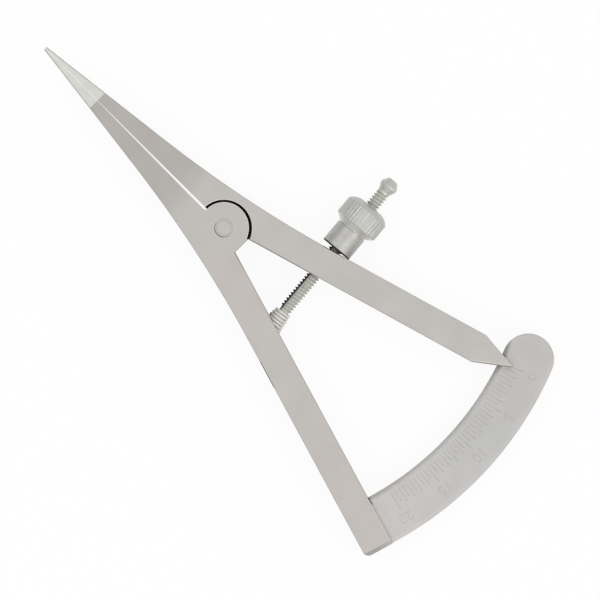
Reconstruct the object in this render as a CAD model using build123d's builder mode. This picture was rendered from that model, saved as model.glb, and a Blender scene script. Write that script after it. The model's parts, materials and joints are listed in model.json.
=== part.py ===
from build123d import *
from math import asin, atan, cos, degrees, hypot, isclose, pi, radians, sin, tan
import os

# Straight surgical caliper for openings from 0 to 20 mm, drawn closed.
# Two flat arms are lapped and riveted at the knuckle. Turning the thumb nut down its screw draws the
# tails together, opens the tips, and carries the index pointer along the graduated arc.
# Lengths are in millimetres and angles in degrees. +Y runs to the tips, +X to the pointer arm, and
# +Z out of the graduated face. The origin lies under the middle of the outline, level with the
# lowest point, which is the thumb nut's rim.

# Measuring range
opening = 20.0
graduation = 0.5
tip_radius = 36.2

# Arms, alike but for their tail ends and handed by side: -1 is the scale arm, +1 the pointer arm
arm_thickness = 4.0
arm_width = 4.33
tail_angle = 16.4
tail_set = 0.25
jaw_angle = 7.0
hip_radius = 180.0
edge_break = 0.12

# Jaws, which thin towards the tips in a long taper and then a ground bevel
tip_half_width = 0.25
tip_gap = 0.04
tip_thickness = 0.6
bevel_length = 10.6
bevel_thickness = 2.7
taper_start = 8.0
slit_width = 0.42

# Knuckle: a half-thick disc on each arm turns in a recess of the other, squared off between the tails
knuckle_radius = 3.62
knuckle_gap = 0.35
crotch_depth = 3.58
lap_gap = 0.05
rivet_radius = 1.05
rivet_head_radius = 1.38
rivet_crown = 0.06
rivet_groove = 0.03
rivet_play = 0.04
sink_angle = 90.0

# Scale plate, an arc about the pivot let into a saw cut in the scale arm
scale_inner = 43.65
scale_width = 7.35
scale_thickness = 1.2
scale_overrun = 2.4
scale_bevel = 0.6
scale_edge_break = 0.1
saw_wall = 0.7
saw_play = 0.02
saw_depth_play = 0.3
tick_inset = 1.1
half_tick = 1.7
whole_tick = 2.2
five_tick = 2.75
tick_width = 0.12
tick_depth = 0.06

# Tail ends
scale_arm_overhang = 0.05
scale_arm_corner = 0.9
scale_arm_bevel = 0.6
pointer_nose = 5.4
pointer_overlap = 1.95
pointer_tip_width = 0.16
pointer_relief = 0.25
pointer_lift = 0.1
pointer_facet = 0.35
pointer_facet_angle = 32.0

# Adjusting screw, a stud set obliquely in the scale arm and placed by its distance from the pivot
screw_reach = 14.2
screw_angle = 5.16
screw_radius = 1.0
screw_set_depth = 3.15
seat_depth = 0.73
neck_radius = 0.7
neck_length = 3.25
thread_length = 21.65
thread_break = 0.2
slot_play = 0.15

# Bead on the screw's end
bead_collar_radius = 0.92
bead_collar = 0.35
bead_radius = 1.42
bead_flats = 2.62
bead_flank = 1.05
bead_nose = 1.05
bead_face_radius = 0.75
tenon_radius = 0.6
tenon_length = 1.3

# Conical spring round the screw's neck
spring_wire = 0.3
wire_sides = 8
spring_turns = 4
spring_base_radius = 1.6
spring_top_radius = 1.1
spring_height = 3.2
seat_play = 0.08
spring_play = 0.02

# Thrust sleeve and thumb nut
sleeve_radius = 2.35
sleeve_length = 3.5
sleeve_round = 0.25
bearing_play = 0.03
bore_play = 0.05
nut_radius = 3.35
nut_play = 0.02
nut_undercut_radius = 2.15
nut_undercut = 0.12
nut_flare = 0.8
nut_grip = 2.5
nut_dome = 0.95
nut_dome_rise = 0.16
nut_face_radius = 2.0
nut_mouth_radius = 1.3
knurl_teeth = 48
knurl_depth = 0.17
knurl_cutter = 0.5

# Place of the pivot in the part's frame, at half the arms' thickness
pivot_x = -1.706
pivot_y = 7.4
pivot_z = nut_radius

# How far a cutting sketch reaches past the metal it clears
spare = 1.0

# Points to each turn at which the spring's gap to itself is measured
turn_samples = 36

# What follows from the sizes above
opening_angle = degrees(2 * asin(opening / (2 * tip_radius)))
half_thickness = arm_thickness / 2
lean = radians(tail_angle)
recess_radius = knuckle_radius + knuckle_gap
tail_outer = tail_set + arm_width
bevel_start = tip_radius - bevel_length
scale_outer = scale_inner + scale_width
pointer_end = scale_inner + pointer_overlap
pointer_middle = tail_set + arm_width / 2
pointer_angle = tail_angle + degrees(atan(pointer_middle / pointer_end))
bore_radius = screw_radius + bore_play

# Tilt of the screw from the scale arm's normal, and from the pointer arm's when closed and open
stud_tilt = lean + radians(screw_angle)
closed_tilt = lean - radians(screw_angle)
open_tilt = closed_tilt - radians(opening_angle)

# Places along the screw, from its point nearest the pivot
seat_place = -(tail_set + screw_reach * sin(stud_tilt)) / cos(stud_tilt) - seat_depth
thread_start = seat_place + neck_length
thread_end = thread_start + thread_length
bearing_face = (tail_outer + screw_reach * sin(closed_tilt)) / cos(closed_tilt)
sleeve_start = bearing_face + (sleeve_radius - sleeve_round) * tan(closed_tilt) + bearing_play
nut_start = sleeve_start + sleeve_length + nut_play

# Planes: plan view at half thickness, side view along +Y, and the screw's length
plan = Plane(origin=(pivot_x, pivot_y, pivot_z))
side_view = Plane(origin=plan.origin, x_dir=(0, 1, 0), z_dir=(1, 0, 0))
front_view = Plane(origin=plan.origin, x_dir=(1, 0, 0), z_dir=(0, -1, 0))
pivot_axis = Axis(plan.origin, (0, 0, 1))
screw_direction = Vector(cos(radians(screw_angle)), sin(radians(screw_angle)), 0)
screw_origin = plan.origin + Vector(screw_direction.Y, -screw_direction.X, 0) * screw_reach
screw_axis = Axis(screw_origin, screw_direction)
screw_length = Plane(origin=screw_origin, x_dir=screw_direction, z_dir=(0, 0, 1))


def screw_section(place):
    """Plane across the screw at a place along it."""
    return Plane(origin=screw_origin + screw_direction * place, x_dir=(0, 0, 1), z_dir=screw_direction)


def tail_point(side, along, across):
    """Point of a tail in plan, along it from the pivot and outwards from the line through the pivot."""
    return (side * (along * sin(lean) + across * cos(lean)), across * sin(lean) - along * cos(lean))


def scale_point(radius, angle):
    """Point in plan at a radius from the pivot, angled from -Y towards the pointer arm."""
    return (radius * sin(radians(angle)), -radius * cos(radians(angle)))


def hip_point(side):
    """Corner in plan where the jaw's outer edge would meet the tail's, before it is rounded."""
    slope = tan(radians(jaw_angle))
    start = tip_half_width + tip_radius * slope
    y = (start * cos(lean) - tail_outer) / (slope * cos(lean) - sin(lean))
    return (side * (start - y * slope), y)


def arm_outline(side, tail_end):
    """Plan of one arm, with its outer edge rounded at the hip."""
    with BuildSketch(plan) as outline:
        with BuildLine():
            Polyline(
                (side * tip_gap / 2, tip_radius),
                (side * tip_half_width, tip_radius),
                hip_point(side),
                *[tail_point(side, along, across) for along, across in tail_end],
                tail_point(side, knuckle_radius / 2, tail_set),
                (side * slit_width / 2, knuckle_radius / 2),
                (side * tip_gap / 2, bevel_start),
                close=True,
            )
        make_face()
        fillet(outline.vertices().sort_by_distance(hip_point(side))[0], radius=hip_radius)
    return outline.sketch


def jaw_relief():
    """Side view of the metal ground off both faces of a jaw."""
    beyond = tip_radius + spare
    with BuildSketch(side_view) as relief:
        with BuildLine():
            Polyline(
                (taper_start, half_thickness),
                (bevel_start, bevel_thickness / 2),
                (tip_radius, tip_thickness / 2),
                (beyond, tip_thickness / 2),
                (beyond, arm_thickness),
                (taper_start, arm_thickness),
                close=True,
            )
        make_face()
        mirror(about=Plane.XZ)
    return relief.sketch


def knuckle_outline(height):
    """Plan of a knuckle drawn at a height over half thickness, cut straight across the tails' crotch."""
    with BuildSketch(plan.offset(height)) as outline:
        Circle(knuckle_radius)
        with BuildLine():
            Polyline(
                tail_point(-1, knuckle_radius / 2, tail_set),
                tail_point(-1, 2 * knuckle_radius, tail_set),
                tail_point(1, 2 * knuckle_radius, tail_set),
                tail_point(1, knuckle_radius / 2, tail_set),
                close=True,
            )
        make_face()
        with Locations((0, -crotch_depth)):
            Rectangle(
                4 * knuckle_radius, 2 * knuckle_radius, align=(Align.CENTER, Align.MAX), mode=Mode.SUBTRACT
            )
    return outline.sketch


def skin_height(y):
    """Height of an arm's face above half thickness, y along the arm from the pivot."""
    if y <= taper_start:
        return half_thickness
    if y <= bevel_start:
        share = (y - taper_start) / (bevel_start - taper_start)
        return half_thickness + share * (bevel_thickness / 2 - half_thickness)
    share = (y - bevel_start) / bevel_length
    return bevel_thickness / 2 + share * (tip_thickness - bevel_thickness) / 2


def face_edges(arm, reach):
    """Edges round an arm's two faces within reach of the pivot, without the jaw's creases and slit."""
    kept = ShapeList()
    for edge in arm.edges():
        middle = plan.to_local_coords(edge @ 0.5)
        on_skin = isclose(abs(middle.Z), skin_height(middle.Y), abs_tol=edge_break / 4)
        crease = middle.Y > knuckle_radius and isclose(abs((edge % 0.5).X), 1, abs_tol=edge_break / 100)
        slit = middle.Y > knuckle_radius and abs(middle.X) < slit_width
        if on_skin and middle.length < reach and not crease and not slit:
            kept.append(edge)
    return kept


def turned(points):
    """Half profile of a turned piece, from (place along the screw, radius) pairs."""
    with BuildSketch(screw_length) as profile:
        with BuildLine():
            Polyline(*points, close=True)
        make_face()
    return profile.sketch


# Scale arm
scale_arm_end = scale_outer + scale_arm_overhang
scale_tail = [(scale_arm_end, tail_outer), (scale_arm_end, tail_set)]
saw_start = scale_inner - saw_depth_play
saw_end = tail_outer - saw_wall
with BuildPart() as scale_arm:
    extrude(arm_outline(-1, scale_tail), amount=half_thickness, both=True)
    extrude(jaw_relief(), amount=2 * arm_width, both=True, mode=Mode.SUBTRACT)
    with BuildSketch(plan.offset(lap_gap / 2)):
        Circle(recess_radius)
    extrude(amount=-arm_thickness, mode=Mode.SUBTRACT)
    extrude(knuckle_outline(lap_gap / 2), amount=half_thickness - lap_gap / 2)
    # Rounded outer corner of the tail's end
    corner = plan.from_local_coords(Vector(*tail_point(-1, scale_arm_end, tail_outer), 0))
    fillet(scale_arm.edges().filter_by(Axis.Z).sort_by_distance(corner)[0], radius=scale_arm_corner)
    chamfer(face_edges(scale_arm, 2 * scale_arm_end), length=edge_break)
    # Rivet hole, countersunk in front
    with Locations(plan.offset(half_thickness)):
        CounterSinkHole(
            rivet_radius, rivet_head_radius, depth=arm_thickness, counter_sink_angle=sink_angle
        )
    # Spot face for the spring and blind bore for the screw's foot
    with BuildSketch(screw_section(seat_place)):
        Circle(spring_base_radius + seat_play)
    extrude(amount=arm_width, mode=Mode.SUBTRACT)
    with BuildSketch(screw_section(seat_place)):
        Circle(screw_radius)
    extrude(amount=-screw_set_depth, mode=Mode.SUBTRACT)
    # Saw cut for the scale plate, open at the tail's end and inner edge
    with BuildSketch(plan.offset(-scale_thickness / 2 - saw_play)):
        with BuildLine():
            Polyline(
                tail_point(-1, saw_start, saw_end),
                tail_point(-1, scale_arm_end + spare, saw_end),
                tail_point(-1, scale_arm_end + spare, tail_set - spare),
                tail_point(-1, saw_start, tail_set - spare),
                close=True,
            )
        make_face()
    extrude(amount=scale_thickness + 2 * saw_play, mode=Mode.SUBTRACT)
    # Bevel across the end of the front face
    end_corner = plan.from_local_coords(
        Vector(*tail_point(-1, scale_arm_end, tail_set - spare), half_thickness)
    )
    with BuildSketch(
        Plane(origin=end_corner, x_dir=(-sin(lean), -cos(lean), 0), z_dir=(-cos(lean), sin(lean), 0))
    ):
        with BuildLine():
            Polyline(
                (-scale_arm_bevel - spare, spare),
                (spare, -scale_arm_bevel - spare),
                (spare, spare),
                close=True,
            )
        make_face()
    extrude(amount=arm_width + 2 * spare, mode=Mode.SUBTRACT)

# Pointer arm, which ends in a nose that reaches over the plate
pointer_shoulder = pointer_end - pointer_nose
pointer_tail = [
    (pointer_shoulder, tail_outer),
    (pointer_end, pointer_middle + pointer_tip_width / 2),
    (pointer_end, pointer_middle - pointer_tip_width / 2),
    (pointer_shoulder, tail_set),
]
slot_crossings = [
    (screw_reach + across * sin(tilt)) / cos(tilt)
    for tilt in (closed_tilt, open_tilt)
    for across in (tail_set, tail_outer)
]
slot_radius = screw_radius / cos(open_tilt) + slot_play
with BuildPart() as pointer_arm:
    extrude(arm_outline(1, pointer_tail), amount=half_thickness, both=True)
    extrude(jaw_relief(), amount=2 * arm_width, both=True, mode=Mode.SUBTRACT)
    with BuildSketch(plan.offset(-lap_gap / 2)):
        Circle(recess_radius)
    extrude(amount=arm_thickness, mode=Mode.SUBTRACT)
    extrude(knuckle_outline(-lap_gap / 2), amount=lap_gap / 2 - half_thickness)
    chamfer(face_edges(pointer_arm, pointer_shoulder), length=edge_break)
    # Running hole for the rivet, countersunk behind
    with Locations(Plane(origin=plan.offset(-half_thickness).origin, z_dir=(0, 0, -1))):
        CounterSinkHole(
            rivet_radius + rivet_play,
            rivet_head_radius + rivet_play,
            depth=arm_thickness,
            counter_sink_angle=sink_angle,
        )
    # Cross slot in which the screw leans as the arm turns
    slot_middle = (min(slot_crossings) + max(slot_crossings)) / 2
    slot_span = max(slot_crossings) - min(slot_crossings)
    slot_start = plan.from_local_coords(Vector(*tail_point(1, slot_middle, tail_set - spare), 0))
    outwards = Vector(cos(lean), sin(lean), 0)
    with BuildSketch(Plane(origin=slot_start, x_dir=(outwards.Y, -outwards.X, 0), z_dir=outwards)):
        SlotCenterToCenter(slot_span, 2 * slot_radius)
    extrude(amount=arm_width + 2 * spare, mode=Mode.SUBTRACT)
    # Relief under the nose, clear of the scale plate
    with BuildSketch(plan.offset(scale_thickness / 2 + pointer_lift)):
        Circle(pointer_end + spare)
        Circle(scale_inner - pointer_relief, mode=Mode.SUBTRACT)
    extrude(amount=-arm_thickness, mode=Mode.SUBTRACT)
    # Facet ground along the nose's inner side
    nose_rise = pointer_middle - pointer_tip_width / 2 - tail_set
    nose_length = hypot(pointer_nose, nose_rise)
    along_tail = Vector(sin(lean), -cos(lean), 0)
    off_nose = (along_tail * nose_rise - outwards * pointer_nose) / nose_length
    facet_start = plan.from_local_coords(
        Vector(*tail_point(1, pointer_shoulder, tail_set), half_thickness) - off_nose * pointer_facet
    )
    facet_angle = radians(pointer_facet_angle)
    off_facet = off_nose * sin(facet_angle) + Vector(0, 0, cos(facet_angle))
    split(bisect_by=Plane(origin=facet_start, z_dir=off_facet), keep=Keep.BOTTOM)

# Scale plate
free_end = pointer_angle + scale_overrun
scale_middle = scale_inner + scale_width / 2
far = 2 * scale_outer
with BuildPart() as scale_plate:
    with BuildSketch(plan.offset(-scale_thickness / 2)):
        Circle(scale_outer)
        Circle(scale_inner, mode=Mode.SUBTRACT)
        with BuildLine():
            Polyline(
                (0, 0),
                scale_point(far, free_end),
                tail_point(-1, far, saw_end - saw_play),
                tail_point(-1, 0, saw_end - saw_play),
                close=True,
            )
        make_face(mode=Mode.INTERSECT)
        with Locations(scale_point(scale_middle, free_end)):
            Circle(scale_width / 2)
    extrude(amount=scale_thickness)
    outer_arc = plan.from_local_coords(Vector(*scale_point(scale_outer, 0), scale_thickness / 2))
    chamfer(scale_plate.edges().sort_by_distance(outer_arc)[0], length=scale_edge_break)
    # Bevel turned along the inner edge, which fades out round the free end
    with BuildSketch(front_view):
        with BuildLine():
            Polyline(
                (scale_inner - spare, scale_thickness / 2 - scale_bevel - spare),
                (scale_inner + scale_bevel + spare, scale_thickness / 2 + spare),
                (scale_inner - spare, scale_thickness / 2 + spare),
                close=True,
            )
        make_face()
    revolve(axis=pivot_axis, mode=Mode.SUBTRACT)
    # Graduations, set out by the chord between the tips
    with BuildSketch(plan.offset(scale_thickness / 2)):
        for mark in range(round(opening / graduation) + 1):
            spread = mark * graduation
            angle = pointer_angle - degrees(2 * asin(spread / (2 * tip_radius)))
            length = half_tick
            if spread % 1 == 0:
                length = whole_tick
            if spread % 5 == 0:
                length = five_tick
            with Locations(scale_point(scale_inner + tick_inset + length / 2, angle)):
                Rectangle(length, tick_width, rotation=angle - 90)
    extrude(amount=-tick_depth, mode=Mode.SUBTRACT)

# Pivot rivet, closed tight in the scale arm and running in the pointer arm
sink_depth = (rivet_head_radius - rivet_radius) / tan(radians(sink_angle / 2))
with BuildPart() as pivot_rivet:
    with BuildSketch(front_view):
        with BuildLine():
            Polyline(
                (0, 0),
                (rivet_radius, 0),
                (rivet_radius, half_thickness - sink_depth),
                (rivet_head_radius, half_thickness),
                (rivet_radius + rivet_groove, half_thickness),
                (rivet_radius, half_thickness - rivet_groove),
                (rivet_radius - rivet_groove, half_thickness),
            )
            crown = (0, half_thickness + rivet_crown)
            TangentArc(crown, (rivet_radius - rivet_groove, half_thickness), tangent=(1, 0))
            Line(crown, (0, 0))
        make_face()
    revolve(axis=pivot_axis)
    mirror(about=plan)

# Adjusting screw: foot, plain neck, threaded length and tenon
screw_profile = [
    (seat_place - screw_set_depth + thread_break, 0),
    (seat_place - screw_set_depth + thread_break, screw_radius),
    (seat_place, screw_radius),
    (seat_place, neck_radius),
    (thread_start, neck_radius),
    (thread_start + thread_break, screw_radius),
    (thread_end - thread_break, screw_radius),
    (thread_end, screw_radius - thread_break),
    (thread_end, tenon_radius),
    (thread_end + tenon_length, tenon_radius),
    (thread_end + tenon_length, 0),
]
with BuildPart() as adjusting_screw:
    revolve(turned(screw_profile), axis=screw_axis)

# Bead that keeps the nut on the screw
bead_waist = thread_end + bead_collar + bead_flank
bead_profile = [
    (thread_end, 0),
    (thread_end, bead_collar_radius),
    (thread_end + bead_collar, bead_collar_radius),
    (bead_waist, bead_radius),
    (bead_waist + bead_nose, bead_face_radius),
    (bead_waist + bead_nose, 0),
]
with BuildPart() as screw_end_stop:
    revolve(turned(bead_profile), axis=screw_axis)
    with BuildSketch(screw_section(thread_end)):
        RegularPolygon(bead_flats / 2, side_count=6, major_radius=False)
    extrude(amount=bead_collar + bead_flank + bead_nose, mode=Mode.INTERSECT)
    with BuildSketch(screw_section(thread_end)):
        Circle(tenon_radius)
    extrude(amount=tenon_length, mode=Mode.SUBTRACT)


def coil_point(turn):
    """Point on the spring's centre line, turns up from the seat, and the line's direction there."""
    angle = 2 * pi * turn
    rise = (spring_height - spring_wire) / (2 * pi * spring_turns)
    taper = (spring_top_radius - spring_base_radius) / (2 * pi * spring_turns)
    radius = spring_base_radius - spring_wire / 2 + taper * angle
    up = Vector(0, 0, 1)
    level = screw_direction.cross(up)
    radial = up * cos(angle) + level * sin(angle)
    around = level * cos(angle) - up * sin(angle)
    start = seat_place + spring_play + spring_wire / 2
    point = screw_origin + screw_direction * (start + rise * angle) + radial * radius
    return point, (screw_direction * rise + radial * taper + around * radius).normalized()


def biarc(start, start_direction, end, end_direction):
    """Joint of the two tangent arcs from start to end, and the direction there."""
    chord = end - start
    reach = chord.dot(start_direction + end_direction)
    spread = 2 * (1 - start_direction.dot(end_direction))
    leg = ((reach**2 + spread * chord.dot(chord)) ** 0.5 - reach) / spread
    joint = (start + end + (start_direction - end_direction) * leg) / 2
    return joint, (joint - start - start_direction * leg).normalized()


# Foot spring, one wire wound as a cone
with BuildPart() as foot_spring:
    with BuildLine() as centre_line:
        for half_turn in range(2 * spring_turns):
            start, start_direction = coil_point(half_turn / 2)
            end, end_direction = coil_point(half_turn / 2 + 0.5)
            joint, joint_direction = biarc(start, start_direction, end, end_direction)
            TangentArc(start, joint, tangent=start_direction)
            TangentArc(joint, end, tangent=joint_direction)
    with BuildSketch(Plane(origin=centre_line.line @ 0, z_dir=centre_line.line % 0)):
        RegularPolygon(spring_wire / 2, side_count=wire_sides)
    sweep(path=centre_line.line)

samples = [coil_point(step / turn_samples)[0] for step in range(turn_samples * spring_turns + 1)]
least_gap = min(
    (samples[later] - samples[first]).length
    for first in range(len(samples))
    for later in range(first + turn_samples // 2, len(samples))
)
print("foot_spring least gap to itself:", round(least_gap - spring_wire, 3), "mm")

# Thrust sleeve, which the nut pushes against the pointer arm
sleeve_profile = [
    (sleeve_start, bore_radius),
    (sleeve_start, sleeve_radius),
    (sleeve_start + sleeve_length, sleeve_radius),
    (sleeve_start + sleeve_length, bore_radius),
]
with BuildPart() as thrust_sleeve:
    revolve(turned(sleeve_profile), axis=screw_axis)
    rims = thrust_sleeve.edges().filter_by(GeomType.CIRCLE).group_by(SortBy.RADIUS)[-1]
    fillet(rims.sort_by(screw_axis)[0], radius=sleeve_round)

# Thumb nut, with a straight knurl between its flare and its dome
nut_base = nut_start + nut_undercut
grip_end = nut_base + nut_flare + nut_grip
nut_end = grip_end + nut_dome
mouth_depth = nut_mouth_radius - bore_radius
with BuildPart() as thumb_nut:
    with BuildSketch(screw_length):
        with BuildLine():
            Polyline(
                (nut_end, nut_face_radius),
                (nut_end, nut_mouth_radius),
                (nut_end - mouth_depth, bore_radius),
                (nut_start, bore_radius),
                (nut_start, nut_undercut_radius),
                (nut_base, nut_undercut_radius),
                (nut_base, sleeve_radius),
                (nut_base + nut_flare, nut_radius),
                (grip_end, nut_radius),
            )
            SagittaArc((grip_end, nut_radius), (nut_end, nut_face_radius), nut_dome_rise)
        make_face()
    revolve(axis=screw_axis)
    with BuildSketch(screw_section(nut_base)):
        grooves = nut_radius - knurl_depth + knurl_cutter
        with PolarLocations(grooves, knurl_teeth, start_angle=180 / knurl_teeth):
            RegularPolygon(knurl_cutter, side_count=4)
    extrude(amount=nut_end - nut_base, mode=Mode.SUBTRACT)

pieces = {
    "scale_arm": scale_arm,
    "pointer_arm": pointer_arm,
    "scale_plate": scale_plate,
    "pivot_rivet": pivot_rivet,
    "adjusting_screw": adjusting_screw,
    "screw_end_stop": screw_end_stop,
    "foot_spring": foot_spring,
    "thrust_sleeve": thrust_sleeve,
    "thumb_nut": thumb_nut,
}
os.makedirs("parts", exist_ok=True)
for name, piece in pieces.items():
    piece.part.label = name
    export_step(piece.part, f"parts/{name}.step")
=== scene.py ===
"""Surgical caliper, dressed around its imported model.

Each piece is finished or modelled by its own operator, which the panel in the 3D view's sidebar lists.
Lengths are in metres, in the model's frame: +Y runs to the tips and +Z out of the graduated face.
"""
import json
from math import asin, atan2, cos, pi, radians, sin

import bmesh
import bpy
from bpy.props import FloatProperty, FloatVectorProperty, IntProperty, PointerProperty
from mathutils import Matrix, Vector


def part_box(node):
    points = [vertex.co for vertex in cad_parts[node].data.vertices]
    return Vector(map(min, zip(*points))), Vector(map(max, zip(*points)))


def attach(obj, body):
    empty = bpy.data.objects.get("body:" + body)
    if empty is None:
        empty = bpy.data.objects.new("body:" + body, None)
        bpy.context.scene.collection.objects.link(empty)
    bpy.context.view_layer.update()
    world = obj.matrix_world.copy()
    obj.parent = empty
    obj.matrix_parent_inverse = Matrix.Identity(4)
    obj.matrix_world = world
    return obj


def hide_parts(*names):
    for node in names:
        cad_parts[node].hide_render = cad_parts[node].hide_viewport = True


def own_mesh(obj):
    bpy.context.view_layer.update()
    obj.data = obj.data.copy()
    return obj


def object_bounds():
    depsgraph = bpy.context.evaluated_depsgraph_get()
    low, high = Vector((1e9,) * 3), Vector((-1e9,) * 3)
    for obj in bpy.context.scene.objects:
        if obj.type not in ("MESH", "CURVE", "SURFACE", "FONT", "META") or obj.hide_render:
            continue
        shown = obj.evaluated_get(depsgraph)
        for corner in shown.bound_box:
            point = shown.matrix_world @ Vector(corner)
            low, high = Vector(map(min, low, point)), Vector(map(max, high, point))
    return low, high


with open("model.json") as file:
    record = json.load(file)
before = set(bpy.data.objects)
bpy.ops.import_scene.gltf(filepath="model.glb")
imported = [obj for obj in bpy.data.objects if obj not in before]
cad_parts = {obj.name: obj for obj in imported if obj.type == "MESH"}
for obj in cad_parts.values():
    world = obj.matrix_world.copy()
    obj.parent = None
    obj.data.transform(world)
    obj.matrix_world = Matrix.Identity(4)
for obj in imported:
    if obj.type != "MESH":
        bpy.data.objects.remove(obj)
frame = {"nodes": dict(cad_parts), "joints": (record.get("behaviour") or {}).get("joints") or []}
cad_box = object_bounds()

bl_info = {
    "name": "Surgical caliper",
    "version": (1, 0, 0),
    "blender": (4, 5, 0),
    "location": "3D View > Sidebar > Caliper",
    "description": "Finishes the arms and scale of a caliper and models its screw, spring, sleeve and nut",
    "category": "Mesh",
}

# Places that the frame gives
joints = {joint["name"]: joint for joint in frame["joints"]}
pivot = Vector(joints["tip_opening"]["pos_m"])
screw_origin = Vector(joints["nut_spin"]["pos_m"])
screw_line = -Vector(joints["nut_spin"]["axis"]).normalized()
up = Vector((0, 0, 1))
tips_side = up.cross(screw_line)
screw_frame = Matrix((up, screw_line.cross(up), screw_line)).transposed().to_4x4()
screw_frame.translation = screw_origin
jaw_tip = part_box("scale_arm")[1].y
plate_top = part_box("scale_plate")[1].z

# Measures of the CAD that the frame doesn't give, and directions along and across the tails
tail_lean = radians(16.4)
scale_tail = Vector((-sin(tail_lean), -cos(tail_lean), 0))
pointer_tail = Vector((sin(tail_lean), -cos(tail_lean), 0))
inwards = Vector((cos(tail_lean), -sin(tail_lean), 0))
outwards = Vector((cos(tail_lean), sin(tail_lean), 0))
half_thickness = 0.002
jaw_bevel_length = 0.0106
tail_set = 0.00025
crotch_limit = -0.0034
plate_start = 0.0429
end_bevel_reach = 0.05
nose_start = 0.0402
nose_turn = radians(21.1)
zero_mark_angle = radians(19.43)

# Distance within which two vertices are one
same_place = 1e-7


def screw_span(node):
    """Lowest and highest place of a CAD node along the screw, and its largest radius about it."""
    points = [vertex.co - screw_origin for vertex in frame["nodes"][node].data.vertices]
    places = [point.dot(screw_line) for point in points]
    radii = [(point - screw_line * place).length for point, place in zip(points, places)]
    return min(places), max(places), max(radii)


class CaliperSizes(bpy.types.PropertyGroup):
    """Sizes that the frame doesn't give."""

    thread_pitch: FloatProperty(
        name="Thread pitch", description="Advance of the screw's thread in one turn",
        default=0.0005, min=0.0002, max=0.001, precision=6, unit="LENGTH")
    thread_depth: FloatProperty(
        name="Thread depth", description="Height of the thread above its root",
        default=0.00027, min=0.0001, max=0.0005, precision=6, unit="LENGTH")
    neck_radius: FloatProperty(
        name="Neck radius", description="Radius of the screw's plain neck under the spring",
        default=0.0007, min=0.0004, max=0.0009, precision=6, unit="LENGTH")
    neck_length: FloatProperty(
        name="Neck length", description="Length of the plain neck from the seat to the thread",
        default=0.00325, min=0.001, max=0.006, precision=6, unit="LENGTH")
    foot_depth: FloatProperty(
        name="Foot depth", description="Depth of the screw's foot below the spring's seat",
        default=0.00295, min=0.001, max=0.004, precision=6, unit="LENGTH")
    spring_wire: FloatProperty(
        name="Spring wire", description="Diameter of the foot spring's wire",
        default=0.00046, min=0.0002, max=0.0005, precision=6, unit="LENGTH")
    spring_turns: FloatProperty(
        name="Spring turns", description="Turns of the foot spring",
        default=5.6, min=2, max=8)
    spring_foot: FloatProperty(
        name="Spring foot", description="Radius over the wire of the spring's lowest turn",
        default=0.0016, min=0.001, max=0.002, precision=6, unit="LENGTH")
    spring_top: FloatProperty(
        name="Spring top", description="Radius over the wire of the spring's highest turn",
        default=0.00118, min=0.001, max=0.002, precision=6, unit="LENGTH")
    bore_radius: FloatProperty(
        name="Bore radius", description="Radius of the bores that the screw runs through",
        default=0.00105, min=0.001, max=0.0012, precision=6, unit="LENGTH")
    knurl_teeth: IntProperty(
        name="Knurl teeth", description="Teeth of the thumb nut's straight knurl",
        default=38, min=24, max=72)
    knurl_depth: FloatProperty(
        name="Knurl depth", description="Depth of the grooves between the teeth",
        default=0.00009, min=0.00005, max=0.0003, precision=6, unit="LENGTH")
    numeral_height: FloatProperty(
        name="Numeral height", description="Height of the scale's numerals",
        default=0.0015, min=0.001, max=0.002, precision=6, unit="LENGTH")
    numeral_depth: FloatProperty(
        name="Numeral depth", description="Depth to which the numerals are engraved",
        default=0.00005, min=0.00002, max=0.0001, precision=6, unit="LENGTH")


class CaliperColours(bpy.types.PropertyGroup):
    """Tones of the steel."""

    satin: FloatVectorProperty(
        name="Satin steel", description="Blasted faces of the arms",
        default=(0.54, 0.507, 0.482), min=0, max=1, subtype="COLOR")
    plate: FloatVectorProperty(
        name="Scale steel", description="Matt face of the graduated plate",
        default=(0.575, 0.553, 0.54), min=0, max=1, subtype="COLOR")
    bright: FloatVectorProperty(
        name="Bright steel", description="Polished tips, screw, spring and bead",
        default=(0.64, 0.635, 0.60), min=0, max=1, subtype="COLOR")
    sleeve: FloatVectorProperty(
        name="Sleeve steel", description="Turned face of the thrust sleeve",
        default=(0.505, 0.5, 0.475), min=0, max=1, subtype="COLOR")
    nut: FloatVectorProperty(
        name="Nut steel", description="Turned faces and knurl of the thumb nut",
        default=(0.56, 0.557, 0.535), min=0, max=1, subtype="COLOR")
    etched: FloatVectorProperty(
        name="Etched marks", description="Floors of the graduations and numerals",
        default=(0.56, 0.537, 0.523), min=0, max=1, subtype="COLOR")
    floor: FloatVectorProperty(
        name="Floor", description="Pale studio floor",
        default=(0.95, 0.95, 0.95), min=0, max=1, subtype="COLOR")


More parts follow.
